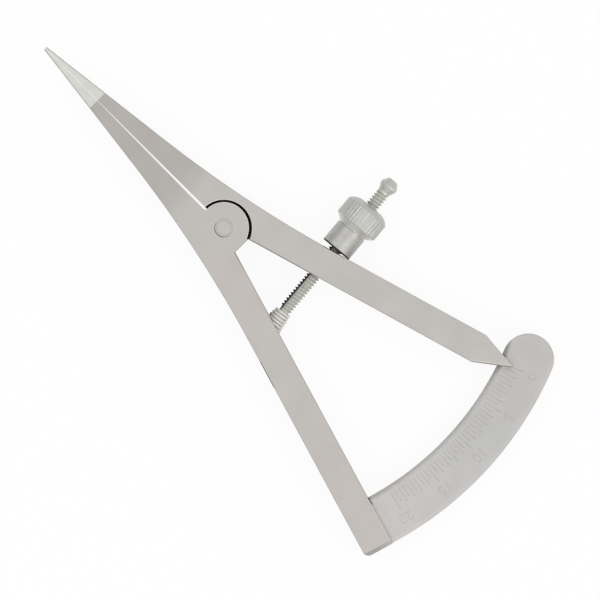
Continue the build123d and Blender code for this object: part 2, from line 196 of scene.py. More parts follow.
class CaliperStage(bpy.types.PropertyGroup):
    """Camera and light."""

    camera_distance: FloatProperty(
        name="Camera distance", description="Height of the camera above the arms",
        default=0.9, min=0.1, max=2, unit="LENGTH")
    camera_place: FloatVectorProperty(
        name="Camera place", description="Place of the camera in plan, from the pivot",
        default=(0.000445, -0.014948), size=2, precision=6, unit="LENGTH")
    frame_width: FloatProperty(
        name="Frame width", description="Width of the picture at the height of the arms",
        default=0.08552, min=0.02, max=0.5, precision=5, unit="LENGTH")
    camera_turn: FloatProperty(
        name="Camera turn", description="Turn of the camera about the upright axis",
        default=radians(-44.83), subtype="ANGLE")
    key_power: FloatProperty(
        name="Key power", description="Power of the softbox on the scale's side",
        default=3.0, min=0, max=50, unit="POWER")
    fill_power: FloatProperty(
        name="Fill power", description="Power of the softbox on the tips' side",
        default=2.0, min=0, max=50, unit="POWER")
    lamp_distance: FloatProperty(
        name="Lamp distance", description="Distance of the softboxes from the caliper",
        default=1.6, min=0.2, max=3, unit="LENGTH")
    lamp_size: FloatProperty(
        name="Lamp size", description="Side of each softbox",
        default=1.0, min=0.05, max=2, unit="LENGTH")
    floor_glow: FloatProperty(
        name="Floor glow", description="Share of the floor's white that shadows leave untouched",
        default=0.9, min=0, max=1, subtype="FACTOR")


def deselect():
    """Leave edit mode and deselect every object."""
    if bpy.context.mode != "OBJECT":
        bpy.ops.object.mode_set(mode="OBJECT")
    bpy.ops.object.select_all(action="DESELECT")


def pick(piece):
    """Make a piece the one selected and active object."""
    deselect()
    piece.select_set(True)
    bpy.context.view_layer.objects.active = piece


def edit(piece):
    """Open a piece in edit mode with all of it selected."""
    pick(piece)
    bpy.ops.object.mode_set(mode="EDIT")
    bpy.ops.mesh.select_all(action="SELECT")


def settle_in_mesh(piece, matrix):
    """Place a piece and move its place into its mesh."""
    piece.matrix_world = matrix
    pick(piece)
    bpy.ops.object.transform_apply(location=True, rotation=True, scale=True)


def close_seams(piece):
    """Merge a mesh's doubles and turn its faces outwards."""
    edit(piece)
    bpy.ops.mesh.remove_doubles(threshold=same_place)
    bpy.ops.mesh.normals_make_consistent(inside=False)
    bpy.ops.object.mode_set(mode="OBJECT")


def smooth(piece, angle=radians(30)):
    """Shade a piece smooth across edges flatter than an angle."""
    pick(piece)
    bpy.ops.object.shade_smooth_by_angle(angle=angle)


def select_edges(piece, wanted):
    """Open a piece in edit mode with the wanted edges selected."""
    edit(piece)
    mesh = bmesh.from_edit_mesh(piece.data)
    for edge in mesh.edges:
        edge.select = wanted(edge)
    bmesh.update_edit_mesh(piece.data)


def sharpen_round(piece, wanted):
    """Keep the edges round the wanted faces sharp."""
    def is_border(edge):
        sides = [wanted(face.calc_center_median(), face.normal) for face in edge.link_faces]
        return any(sides) and not all(sides)

    select_edges(piece, is_border)
    bpy.ops.mesh.mark_sharp()
    bpy.ops.object.mode_set(mode="OBJECT")


def round_edges(piece, wanted, offset, segments):
    """Round the wanted edges."""
    select_edges(piece, wanted)
    bpy.ops.mesh.bevel(offset=offset, segments=segments, clamp_overlap=True)
    bpy.ops.object.mode_set(mode="OBJECT")


def cut_with(piece, tool, operation):
    """Carry out a boolean on a piece and remove the tool."""
    pick(piece)
    bpy.ops.object.modifier_add(type="BOOLEAN")
    cut = piece.modifiers[-1]
    cut.operation = operation
    cut.solver = "EXACT"
    cut.object = tool
    bpy.ops.object.modifier_apply(modifier=cut.name)
    bpy.data.objects.remove(tool)


def weigh_normals(piece):
    """Let large faces set the normals of the rounded edges beside them."""
    pick(piece)
    bpy.ops.object.modifier_add(type="WEIGHTED_NORMAL")
    piece.modifiers[-1].keep_sharp = True
    bpy.ops.object.modifier_apply(modifier=piece.modifiers[-1].name)


def add_to_caliper(piece, body, node):
    """Let a finished piece ride on its body in place of its CAD node."""
    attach(piece, body)
    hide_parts(node)


def merged_copy(node, name):
    """Copy of a CAD node, its loose triangles joined into whole faces."""
    piece = bpy.data.objects.new(name, frame["nodes"][node].data.copy())
    bpy.context.scene.collection.objects.link(piece)
    pick(piece)
    bpy.ops.mesh.customdata_custom_splitnormals_clear()
    edit(piece)
    bpy.ops.mesh.remove_doubles(threshold=same_place)
    bpy.ops.mesh.dissolve_limited(angle_limit=radians(0.5))
    bpy.ops.object.mode_set(mode="OBJECT")
    return piece


def turned(name, profile, sides, groove=None):
    """Body of revolution about Z through (place, radius) rings, with a knurl's grooves where asked.

    A profile that comes back to its start makes a ring with a bore, and any other a body with flat ends.
    """
    deselect()
    place, radius = profile[0]
    ends = "NOTHING" if profile[0] == profile[-1] else "NGON"
    bpy.ops.mesh.primitive_circle_add(
        vertices=sides, radius=radius, fill_type=ends, location=(0, 0, place))
    piece = bpy.context.object
    piece.name = name
    bpy.ops.object.transform_apply(location=True)
    edit(piece)
    for next_place, next_radius in profile[1:]:
        bpy.ops.mesh.extrude_region_move(TRANSFORM_OT_translate={"value": (0, 0, next_place - place)})
        share = next_radius / radius
        bpy.ops.transform.resize(value=(share, share, 1), center_override=(0, 0, 0))
        place, radius = next_place, next_radius
    bpy.ops.object.mode_set(mode="OBJECT")
    if groove:
        cut_knurl(piece, sides, *groove)
    close_seams(piece)
    return piece


def cut_knurl(piece, sides, teeth, rim, depth):
    """Draw in the vertices of a straight knurl's grooves, five to a tooth: root, two flanks, two crests."""
    steps = sides // teeth
    floors = {0: rim - depth, 1: rim - depth * 0.5, steps - 1: rim - depth * 0.5}
    edit(piece)
    mesh = bmesh.from_edit_mesh(piece.data)
    for vertex in mesh.verts:
        step = round(atan2(vertex.co.y, vertex.co.x) / (2 * pi) * sides) % steps
        if step in floors and vertex.co.xy.length > floors[step]:
            vertex.co.xy *= floors[step] / vertex.co.xy.length
    bmesh.update_edit_mesh(piece.data)
    bpy.ops.object.mode_set(mode="OBJECT")


def arc(start, end, rise, steps):
    """Points of a shallow bulge from start to end, each a (place, radius) pair, start and end included."""
    start, end = Vector(start), Vector(end)
    across = (end - start).orthogonal().normalized()
    points = []
    for step in range(steps + 1):
        share = step / steps
        points.append(tuple(start.lerp(end, share) + across * rise * 4 * share * (1 - share)))
    return points


def add_node(tree, kind, inputs=(), **settings):
    """New shader node with its settings and socket values."""
    made = tree.nodes.new(kind)
    for name, value in settings.items():
        setattr(made, name, value)
    for name, value in dict(inputs).items():
        made.inputs[name].default_value = value
    return made


def noise(tree, vector, per_mm, stretch=(1, 1, 1), turn=0.0, detail=2.0):
    """Noise on object coordinates, its scale in cycles a millimetre, drawn out along its own axes."""
    scale = tuple(part / (1000 * per_mm) for part in stretch)
    mapping = add_node(tree, "ShaderNodeMapping", {"Rotation": (0, 0, turn), "Scale": scale},
                       vector_type="TEXTURE")
    tree.links.new(vector, mapping.inputs["Vector"])
    made = add_node(tree, "ShaderNodeTexNoise", {"Scale": 1.0, "Detail": detail})
    tree.links.new(mapping.outputs["Vector"], made.inputs["Vector"])
    return made.outputs["Fac"]


def between(tree, value, low, high, from_low=0.35, from_high=0.65):
    """Value carried from one range to another."""
    made = add_node(tree, "ShaderNodeMapRange", {
        "From Min": from_low, "From Max": from_high, "To Min": low, "To Max": high})
    tree.links.new(value, made.inputs["Value"])
    return made.outputs["Result"]


def blend_colour(tree, share, first, second, kind="MIX"):
    """Colour between two, each a colour or a socket."""
    mix = add_node(tree, "ShaderNodeMix", data_type="RGBA", blend_type=kind)
    tree.links.new(share, mix.inputs["Factor"])
    for name, colour in (("A", first), ("B", second)):
        socket = next(s for s in mix.inputs if s.name == name and s.type == "RGBA")
        if isinstance(colour, bpy.types.NodeSocket):
            tree.links.new(colour, socket)
        else:
            socket.default_value = (*colour, 1)
    return next(s for s in mix.outputs if s.type == "RGBA")


def blend_shader(tree, share, first, second):
    """Shader between two."""
    mix = tree.nodes.new("ShaderNodeMixShader")
    tree.links.new(share, mix.inputs["Fac"])
    tree.links.new(first, mix.inputs[1])
    tree.links.new(second, mix.inputs[2])
    return mix.outputs["Shader"]


def vector_math(tree, operation, first, second=(0, 0, 0)):
    """Outputs of a vector operation on a socket and a fixed vector."""
    made = add_node(tree, "ShaderNodeVectorMath", {1: tuple(second)}, operation=operation)
    tree.links.new(first, made.inputs[0])
    return made.outputs


def along(tree, place, origin, direction):
    """Distance of a place from an origin, measured along a direction."""
    offset = vector_math(tree, "SUBTRACT", place, origin)["Vector"]
    return vector_math(tree, "DOT_PRODUCT", offset, direction)["Value"]


def reach(tree, place, origin, axis):
    """Distance of a place from an axis through an origin."""
    offset = vector_math(tree, "SUBTRACT", place, origin)["Vector"]
    across = vector_math(tree, "CROSS_PRODUCT", offset, axis)["Vector"]
    return vector_math(tree, "LENGTH", across)["Value"]


def both(tree, first, second):
    """Product of two shares."""
    product = add_node(tree, "ShaderNodeMath", operation="MULTIPLY")
    tree.links.new(first, product.inputs[0])
    tree.links.new(second, product.inputs[1])
    return product.outputs["Value"]


def strip(origin, direction, low, high, start, end):
    """Mask that goes from low to high between two places along a direction."""
    return lambda tree, place: between(tree, along(tree, place, origin, direction), low, high, start, end)


def ring(low, high, start, end):
    """Mask that goes from low to high between two distances from the pivot in plan."""
    return lambda tree, place: between(tree, reach(tree, place, pivot, up), low, high, start, end)


def overlap(first, second):
    """Mask of what two masks share."""
    return lambda tree, place: both(tree, first(tree, place), second(tree, place))


def shade(material, factor, mask):
    """Multiply a steel's colour by a factor where a mask, made from object coordinates, is 1.

    The tones painted so stand for shadows and reflections in the photograph, or match a tone in it.
    """
    tree = material.node_tree
    base = tree.nodes["Principled BSDF"].inputs["Base Color"]
    tone = base.links[0].from_socket
    share = mask(tree, tree.nodes["Texture Coordinate"].outputs["Object"])
    tree.links.new(blend_colour(tree, share, tone, (factor, factor, factor), "MULTIPLY"), base)


def add_bumps(tree, shader, *bumps):
    """Stack of bumps on a shader, each a (height socket, depth in metres) pair."""
    normal = None
    for height, depth in bumps:
        bump = add_node(tree, "ShaderNodeBump", {"Strength": 1.0, "Distance": depth})
        tree.links.new(height, bump.inputs["Height"])
        if normal:
            tree.links.new(normal, bump.inputs["Normal"])
        normal = bump.outputs["Normal"]
    tree.links.new(normal, shader.inputs["Normal"])


def scaled(colour, factor):
    """Colour made lighter or darker."""
    return tuple(min(1.0, part * factor) for part in colour)


def cooled(colour):
    """Colour drawn from warm towards green grey."""
    red, green, blue = colour
    return red * 0.965, green * 1.005, blue * 1.005


def new_steel(name):
    """Empty metal material, with its node tree, shader and object coordinates."""
    material = bpy.data.materials.new(name)
    material.use_nodes = True
    tree = material.node_tree
    shader = tree.nodes["Principled BSDF"]
    shader.inputs["Metallic"].default_value = 1.0
    place = tree.nodes.new("ShaderNodeTexCoord").outputs["Object"]
    return material, tree, shader, place


def satin_steel(name, colour, lay=0.0, rough=(0.34, 0.46)):
    """Blasted steel, warm and cool by turns, with soft clouds and faint draw lines along the piece."""
    material, tree, shader, place = new_steel(name)
    hues = noise(tree, place, 0.09)
    clouds = noise(tree, place, 0.22, detail=4)
    grain = noise(tree, place, 11)
    lines = noise(tree, place, 9, stretch=(1, 40, 1), turn=lay, detail=3)
    dark, pale = [
        blend_colour(tree, between(tree, hues, 0, 1), scaled(colour, level), cooled(scaled(colour, level)))
        for level in (0.965, 1.03)
    ]
    tone = blend_colour(tree, between(tree, clouds, 0, 1), dark, pale)
    tone = blend_colour(tree, between(tree, grain, 0, 0.5), tone, scaled(colour, 0.9))
    tree.links.new(tone, shader.inputs["Base Color"])
    tree.links.new(between(tree, lines, *rough), shader.inputs["Roughness"])
    add_bumps(tree, shader, (grain, 0.000006), (lines, 0.000003))
    return material


def ground_steel(name, colour, rough):
    """Finely ground and half polished steel, with fine lines along the grinding."""
    material, tree, shader, place = new_steel(name)
    lines = noise(tree, place, 14, stretch=(1, 60, 1), detail=3)
    stains = noise(tree, place, 0.5, detail=3)
    tone = blend_colour(tree, between(tree, lines, 0, 1), scaled(colour, 0.93), scaled(colour, 1.06))
    tone = blend_colour(tree, between(tree, stains, 0, 0.35), tone, scaled(colour, 0.88))
    tree.links.new(tone, shader.inputs["Base Color"])
    tree.links.new(between(tree, stains, *rough), shader.inputs["Roughness"])
    add_bumps(tree, shader, (lines, 0.000003))
    return material


def lathe_steel(name, colour, rough=(0.44, 0.54), rings_per_mm=9, root=None):
    """Turned steel with fine rings round the screw's axis, with painted light in grooves down to a root
    radius.
    """
    material, tree, shader, place = new_steel(name)
    height = add_node(tree, "ShaderNodeCombineXYZ")
    tree.links.new(along(tree, place, screw_origin, screw_line), height.inputs["X"])
    rings = noise(tree, height.outputs["Vector"], rings_per_mm, detail=3)
    stains = noise(tree, place, 0.8, detail=3)
    tone = blend_colour(tree, between(tree, rings, 0, 1), scaled(colour, 0.93), scaled(colour, 1.05))
    tone = blend_colour(tree, between(tree, stains, 0, 0.35), tone, scaled(colour, 0.88))
    # Painted light in the grooves down to the root, against the shade that falls there
    if root:
        depth = between(tree, reach(tree, place, screw_origin, screw_line), 1, 0, root, root + 0.0002)
        tone = blend_colour(tree, depth, tone, scaled(colour, 1.12))
    tree.links.new(tone, shader.inputs["Base Color"])
    tree.links.new(between(tree, stains, *rough), shader.inputs["Roughness"])
    add_bumps(tree, shader, (rings, 0.000004))
    return material


def etched_steel(name, colour, plain):
    """Floor of an engraved mark, worn in places to the plain steel beside it."""
    material, tree, shader, place = new_steel(name)
    grain = noise(tree, place, 6, detail=3)
    wear = noise(tree, place, 0.5, detail=3)
    tone = blend_colour(tree, between(tree, wear, 0, 0.6), colour, plain)
    tone = blend_colour(tree, between(tree, grain, 0, 0.6), tone, scaled(colour, 0.85))
    tree.links.new(tone, shader.inputs["Base Color"])
    tree.links.new(between(tree, grain, 0.4, 0.55), shader.inputs["Roughness"])
    add_bumps(tree, shader, (grain, 0.000008))
    return material


def dark_residue(name):
    """Nearly black lining, a painted shadow for a gap that shows as a black line."""
    material, tree, shader, place = new_steel(name)
    shader.inputs["Metallic"].default_value = 0.0
    grain = noise(tree, place, 3, detail=3)
    tone = blend_colour(tree, between(tree, grain, 0, 1), (0.004, 0.004, 0.003), (0.012, 0.011, 0.009))
    tree.links.new(tone, shader.inputs["Base Color"])
    tree.links.new(between(tree, grain, 0.6, 0.8), shader.inputs["Roughness"])
    add_bumps(tree, shader, (grain, 0.00001))
    return material


def give(piece, *materials):
    """Set a piece's materials, the first of them all over."""
    piece.data.materials.clear()
    for material in materials:
        piece.data.materials.append(material)


def assign_where(piece, slot, wanted):
    """Give the faces whose centre and normal are wanted the material of a slot."""
    for face in piece.data.polygons:
        if wanted(face.center, face.normal):
            face.material_index = slot


class CALIPER_OT_finish_arms(bpy.types.Operator):
    """Give both arms a blasted finish, burnished edges and bright ground tips, with painted shadow in the
    knuckle gap and painted shade and light on some edges
    """

    bl_idname = "caliper.finish_arms"
    bl_label = "Finish the arms"

    def execute(self, context):
        colours = context.scene.caliper_colours
        tips = ground_steel("bright_tip_steel", scaled(colours.bright, 1.02), rough=(0.34, 0.46))
        # Painted shadow, nearly black, lining the knuckle's gap
        gap_shadow = dark_residue("knuckle_gap_painted_shadow")
        # Painted light on the broken edges beside the knuckle's gap, half again as light as the faces
        lit_knuckle_rim = satin_steel("knuckle_rim_painted_light_steel", scaled(colours.satin, 1.5))
        end_bevel = satin_steel("end_bevel_steel", colours.satin)
        # Painted shade on the outer half of the bevel across the scale arm's end
        end_bevel_shade = strip(pivot, inwards, 1, 0, -0.0026, -0.0008)
        shade(end_bevel, 0.78, end_bevel_shade)
        # The nose facet is a lighter tone, with a line of painted shade along its lower rim
        facet = satin_steel("nose_facet_steel", scaled(colours.satin, 1.1))
        shade(facet, 0.62, self.facet_rim())
        bevel_start = jaw_tip - jaw_bevel_length
        taper = strip(pivot, (0, 1, 0), 0, 1, 0.006, 0.0095)
        for node, name, side, shaded_to in (
            ("scale_arm", "forged_scale_arm", -1, 0.0065),
            ("pointer_arm", "forged_pointer_arm", 1, 0.0145),
        ):
            arm = merged_copy(node, name)
            faces = satin_steel(node + "_steel", colours.satin, lay=side * tail_lean)
            edges = satin_steel(node + "_edge_steel", cooled(scaled(colours.satin, 1.02)))
            for steel in (faces, edges):
                shade(steel, 0.85, taper)
            # Painted shadow of the sleeve across the broken edges; the mask lies on both arms
            shade(edges, 0.04, self.under_sleeve())
            # Inner edges a little darker, with painted shade from the knuckle down to a place along the tail
            inner_edges = satin_steel(node + "_inner_edge_steel", scaled(colours.satin, 0.95))
            inner_edge_shade = strip(pivot, (0, -1, 0), 1, 0, shaded_to - 0.003, shaded_to)
            shade(inner_edges, 0.5, inner_edge_shade)
            if side == -1:
                self.shift_disc(arm)
                # Painted light on the scale arm's inner edge beside the plate
                lit_edge_beside_plate = strip(pivot, scale_tail, 0, 1, 0.0438, 0.0448)
                shade(inner_edges, 1.5, lit_edge_beside_plate)
            give(arm, faces, edges, inner_edges, tips, gap_shadow, lit_knuckle_rim, end_bevel, facet)
            assign_where(arm, 1, self.is_edge)
            assign_where(arm, 2, lambda centre, normal: self.is_edge(centre, normal)
                         and (centre.y < pivot.y or side == -1) and normal.x * side < -0.5)
            assign_where(arm, 3, lambda centre, normal: centre.y > bevel_start and abs(normal.z) > 0.9)
            assign_where(arm, 4, self.is_knuckle_gap)
            assign_where(arm, 5, self.is_knuckle_rim)
            assign_where(arm, 6, self.is_end_bevel)
            if side == 1:
                assign_where(arm, 7, self.is_nose_facet)
            smooth(arm, radians(50))
            sharpen_round(arm, self.is_end_bevel)
            weigh_normals(arm)
            add_to_caliper(arm, node, node)
        return {"FINISHED"}

    @staticmethod
    def shift_disc(arm):
        """Shift the rim of the knuckle's upper disc towards its socket on the upper right."""
        nearest = Vector((1, 1, 0)).normalized()
        most = 0.0001
        for vertex in arm.data.vertices:
            place = vertex.co - pivot
            if place.z > 0.00001 and 0.00345 < place.xy.length < 0.00364:
                share = max(0.0, place.xy.to_3d().normalized().dot(nearest))
                vertex.co += nearest * most * share

    @staticmethod
    def under_sleeve():
        """Mask of the edges level with the sleeve, on both arms, where the sleeve's shadow is painted."""
        crossing = screw_origin + screw_line * screw_span("thrust_sleeve")[0]
        return overlap(strip(crossing, pointer_tail, 0, 1, -0.0019, -0.0016),
                       strip(crossing, pointer_tail, 1, 0, 0.0016, 0.0019))

    @staticmethod
    def facet_rim():
        """Mask of the nose facet's lower rim, where a line of shade is painted."""
        shoulder = pivot + pointer_tail * nose_start + outwards * tail_set
        off_nose = pointer_tail * sin(nose_turn) - outwards * cos(nose_turn)
        return strip(shoulder, off_nose, 0, 1, -0.0002, -0.00012)

    @staticmethod
    def is_sloped(normal):
        """True on the slope of a broken edge or bevel."""
        return 0.6 < abs(normal.z) < 0.85

    @classmethod
    def is_edge(cls, centre, normal):
        """True on a broken edge, and false on the bevel across the scale arm's end."""
        return cls.is_sloped(normal) and (centre - pivot).length < end_bevel_reach

    @classmethod
    def is_end_bevel(cls, centre, normal):
        """True on the bevel across the scale arm's end."""
        return cls.is_sloped(normal) and (centre - pivot).length > end_bevel_reach

    @classmethod
    def is_knuckle_rim(cls, centre, normal):
        """True on the broken edges on both sides of the knuckle's gap."""
        place = centre - pivot
        return cls.is_sloped(normal) and 0.0034 < place.xy.length < 0.0042 and place.y > crotch_limit

    @staticmethod
    def is_nose_facet(centre, normal):
        """True on the facet along the nose's inner side."""
        return 0.83 < normal.z < 0.87 and centre.y < pivot.y - 0.035

    @staticmethod
    def is_knuckle_gap(centre, normal):
        """True on the knuckle's lapped faces and the walls between its halves, but not across the crotch."""
        place = centre - pivot
        lap = abs(place.z) < 0.0001 and abs(normal.z) > 0.9 and place.xy.length < 0.0045
        wall = 0.0035 < place.xy.length < 0.0041 and abs(normal.z) < 0.1 and place.y > crotch_limit
        return lap or wall


class CALIPER_OT_engrave_scale(bpy.types.Operator):
    """Engrave the scale plate's numerals and darken the graduations"""

    bl_idname = "caliper.engrave_scale"
    bl_label = "Engrave the scale"

    def execute(self, context):
        sizes = context.scene.caliper_sizes
        colours = context.scene.caliper_colours
        plate = merged_copy("scale_plate", "graduated_plate")
        round_edges(plate, self.is_crease, 0.00018, 3)
        for value in (0, 5, 10, 15, 20):
            self.engrave(plate, value, sizes)
        close_seams(plate)
        face = satin_steel("plate_satin_steel", colours.plate, rough=(0.4, 0.52))
        # The inner bevel is painted lighter, most towards its crest, for the light falling across it
        bevel = satin_steel("plate_bevel_steel", scaled(colours.plate, 1.08), rough=(0.4, 0.52))
        bevel_light = ring(0, 1, 0.0437, 0.0442)
        shade(bevel, 1.29, bevel_light)
        # Painted light on a strip beside the scale arm, and painted shade in the corner against it
        light_strip = self.beside_arm(0.0006, 0.052)
        corner_shade = self.beside_arm(0.00012, 0.0449)
        for steel in (face, bevel):
            shade(steel, 1.05, light_strip)
            shade(steel, 0.2, corner_shade)
        etched = etched_steel("etched_mark_steel", colours.etched, colours.plate)
        mark_ends = overlap(ring(0, 1, 0.0463, 0.0467), ring(1, 0, 0.0474, 0.0478))
        shade(etched, 0.91, mark_ends)
        # Painted highlight along the plate's outer rim
        rim_highlight = ring(0, 1, 0.0501, 0.0507)
        shade(face, 1.05, rim_highlight)
        pointer_side = strip(pivot, (1, 0, 0), 0, 1, -0.012, 0.012)
        for steel in (face, etched):
            shade(steel, 0.93, pointer_side)
        give(plate, face, etched, bevel)
        assign_where(plate, 1, self.is_mark)
        assign_where(plate, 2, self.is_inner_bevel)
        smooth(plate)
        weigh_normals(plate)
        add_to_caliper(plate, "scale_arm", "scale_plate")
        return {"FINISHED"}

    @staticmethod
    def beside_arm(width, end):
        """Mask of a strip beside the scale arm, from the plate's inner edge to a place along the tail."""
        fade = 0.0002
        side = strip(pivot, inwards, 1, 0, width - tail_set, width * 1.5 - tail_set)
        past = strip(pivot, scale_tail, 0, 1, plate_start, plate_start + fade)
        short = strip(pivot, scale_tail, 1, 0, end - fade, end)
        return overlap(side, overlap(past, short))

    @staticmethod
    def is_crease(edge):
        """True on the crease between the plate's face and the bevel along its inner edge."""
        heights = sorted(face.normal.z for face in edge.link_faces)
        top = min(vertex.co.z for vertex in edge.verts) > plate_top - 1e-6
        inner = (edge.verts[0].co - pivot).xy.length < 0.046
        return top and inner and heights[-1] > 0.99 and 0.5 < heights[0] < 0.9

    @staticmethod
    def is_inner_bevel(centre, normal):
        """True on the bevel along the plate's inner edge."""
        return 0.5 < normal.z < 0.9 and (centre - pivot).xy.length < 0.0455

    @staticmethod
    def is_mark(centre, normal):
        """True on the floor of a graduation or numeral."""
        return normal.z > 0.9 and plate_top - 0.0001 < centre.z < plate_top - 0.00002

    @staticmethod
    def engrave(plate, value, sizes):
        """Cut one numeral beside its graduation, its top outwards."""
        tips_reach = jaw_tip - pivot.y
        angle = zero_mark_angle - 2 * asin(value * 0.001 / (2 * tips_reach))
        deselect()
        bpy.ops.object.text_add(location=(0, 0, 0))
        text = bpy.context.object
        text.data.body = str(value)
        text.data.align_x = "CENTER"
        text.data.align_y = "CENTER"
        text.data.extrude = 1.0
        bpy.ops.object.convert(target="MESH")
        text = bpy.context.object
        scale = sizes.numeral_height / text.dimensions.y
        radial = Vector((sin(angle), -cos(angle), 0))
        numeral_reach = 0.0487
        place = Matrix.Translation(pivot + radial * numeral_reach + up * (plate_top - pivot.z))
        turn = Matrix.Rotation(angle + pi, 4, "Z")
        size = Matrix.Diagonal((scale, scale, sizes.numeral_depth, 1))
        settle_in_mesh(text, place @ turn @ size)
        close_seams(text)
        cut_with(plate, text, "DIFFERENCE")


class CALIPER_OT_finish_rivet(bpy.types.Operator):
    """Finish the pivot rivet's dressed ends"""

    bl_idname = "caliper.finish_rivet"
    bl_label = "Finish the pivot rivet"

    def execute(self, context):
        rivet = merged_copy("pivot_rivet", "dressed_rivet")
        round_edges(rivet, self.is_rim, 0.00005, 2)
        steel = satin_steel("rivet_satin_steel", context.scene.caliper_colours.satin, rough=(0.3, 0.4))
        # Painted shade round the rivet's rim
        shade(steel, 0.12, self.dark_rim())
        give(rivet, steel)
        smooth(rivet)
        weigh_normals(rivet)
        add_to_caliper(rivet, "scale_arm", "pivot_rivet")
        return {"FINISHED"}

    @staticmethod
    def is_rim(edge):
        """True on the rim of either end."""
        return all((vertex.co - pivot).xy.length > 0.00136 for vertex in edge.verts)

    @staticmethod
    def dark_rim():
        """Mask of the rim, where shade is painted, darkest towards the scale arm."""
        return overlap(ring(0, 1, 0.00122, 0.0013), strip(pivot, (-1, 0, 0), 0.25, 1, -0.0002, 0.001))


class CALIPER_OT_cut_screw(bpy.types.Operator):
    """Model the adjusting screw with its thread, plain neck and foot"""

    bl_idname = "caliper.cut_screw"
    bl_label = "Cut the adjusting screw"

    def execute(self, context):
        sizes = context.scene.caliper_sizes
        start, end, radius = screw_span("adjusting_screw")
        bead_start = screw_span("screw_end_stop")[0]
        seat = start + sizes.foot_depth
        thread_start = seat + sizes.neck_length
        run_out = 0.0002
        tenon = 0.0006
        blank = turned("threaded_stud", [
            (start, radius), (seat, radius), (seat, sizes.neck_radius),
            (thread_start, sizes.neck_radius), (thread_start + run_out, radius),
            (bead_start - run_out, radius), (bead_start, radius - run_out), (bead_start, tenon),
            (end, tenon),
        ], 64)
        rod = self.thread(sizes, start, end, radius)
        cut_with(blank, rod, "INTERSECT")
        close_seams(blank)
        settle_in_mesh(blank, screw_frame)
        smooth(blank)
        steel = lathe_steel("thread_steel", context.scene.caliper_colours.bright, rough=(0.72, 0.82),
                            rings_per_mm=14, root=radius - sizes.thread_depth)
        # Painted shade, nearly black, on the screw's side towards the tips
        shade(steel, 0.08, self.dark_side())
        give(blank, steel)
        add_to_caliper(blank, "scale_arm", "adjusting_screw")
        return {"FINISHED"}

    @staticmethod
    def dark_side():
        """Mask of the screw's side towards the tips, as far as the sleeve at rest, where shade is painted.
        """
        limit = screw_span("thrust_sleeve")[0]
        return overlap(strip(screw_origin, tips_side, 0, 1, 0.00045, 0.00058),
                       strip(screw_origin, screw_line, 1, 0, limit, limit + 0.0003))

    @staticmethod
    def thread(sizes, start, end, radius):
        """Rod with a thread all along it, longer than the screw."""
        pitch = sizes.thread_pitch
        root = radius - sizes.thread_depth
        flat = pitch / 4
        crest = pitch / 8
        flank = (pitch - flat - crest) / 2
        deselect()
        bpy.ops.mesh.primitive_circle_add(vertices=5, radius=radius)
        rod = bpy.context.object
        places = (0, flat, flat + flank, flat + flank + crest, pitch)
        for vertex, place, across in zip(rod.data.vertices, places, (root, root, radius, radius, root)):
            vertex.co = (across, 0, start - 2 * pitch + place)
        select_edges(rod, lambda edge: {vertex.index for vertex in edge.verts} == {0, 4})
        bpy.ops.mesh.delete(type="EDGE_FACE")
        bpy.ops.object.mode_set(mode="OBJECT")
        bpy.ops.object.modifier_add(type="SCREW")
        wind = rod.modifiers[-1]
        wind.axis = "Z"
        wind.angle = 2 * pi
        wind.screw_offset = pitch
        wind.iterations = round((end - start) / pitch) + 5
        wind.steps = 40
        wind.render_steps = 40
        wind.use_merge_vertices = True
        wind.merge_threshold = same_place
        bpy.ops.object.modifier_apply(modifier=wind.name)
        close_seams(rod)
        for place, clear_low in ((start - pitch / 2, True), (end + pitch / 2, False)):
            edit(rod)
            bpy.ops.mesh.bisect(
                plane_co=(0, 0, place), plane_no=(0, 0, 1), use_fill=True,
                clear_inner=clear_low, clear_outer=not clear_low, threshold=1e-8)
        close_seams(rod)
        return rod


class CALIPER_OT_facet_bead(bpy.types.Operator):
    """Finish the faceted bead on the screw's end, its edges softened by polishing"""

    bl_idname = "caliper.facet_bead"
    bl_label = "Facet the bead"

    def execute(self, context):
        bead = merged_copy("screw_end_stop", "faceted_bead")
        round_edges(bead, lambda edge: edge.calc_face_angle(0) > radians(20), 0.00004, 2)
        smooth(bead)
        give(bead, ground_steel("bead_polish_steel", scaled(context.scene.caliper_colours.bright, 0.9),
                                rough=(0.38, 0.5)))
        add_to_caliper(bead, "scale_arm", "screw_end_stop")
        return {"FINISHED"}


class CALIPER_OT_wind_spring(bpy.types.Operator):
    """Wind the conical foot spring, which shortens as the tips open"""

    bl_idname = "caliper.wind_spring"
    bl_label = "Wind the foot spring"

    def execute(self, context):
        sizes = context.scene.caliper_sizes
        start, end, _ = screw_span("foot_spring")
        wire = sizes.spring_wire
        bottom = start + wire / 2
        rise = end - start - wire
        steps = round(sizes.spring_turns * 24)
        deselect()
        bpy.ops.curve.primitive_nurbs_path_add()
        spring = bpy.context.object
        spring.name = "coil_spring"
        spring.data.splines.clear()
        wound = spring.data.splines.new("POLY")
        wound.points.add(steps)
        for step, point in enumerate(wound.points):
            share = step / steps
            angle = 2 * pi * sizes.spring_turns * share
            across = sizes.spring_foot + (sizes.spring_top - sizes.spring_foot) * share - wire / 2
            point.co = (across * cos(angle), across * sin(angle), bottom + rise * share, 1)
        spring.data.dimensions = "3D"
        spring.data.bevel_depth = wire / 2
        spring.data.bevel_resolution = 4
        spring.data.use_fill_caps = True
        bpy.ops.object.convert(target="MESH")
        spring = bpy.context.object
        close_seams(spring)
        settle_in_mesh(spring, screw_frame)
        smooth(spring, radians(50))
        steel = lathe_steel("drawn_wire_steel", scaled(context.scene.caliper_colours.bright, 1.25),
                            rough=(0.72, 0.82))
        # Painted shade, nearly black, on the spring's side towards the tips
        dark_side = strip(screw_origin, tips_side, 0, 1, 0.0011, 0.0014)
        shade(steel, 0.1, dark_side)
        give(spring, steel)
        add_to_caliper(spring, "scale_arm", "foot_spring")
        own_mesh(spring)
        return {"FINISHED"}


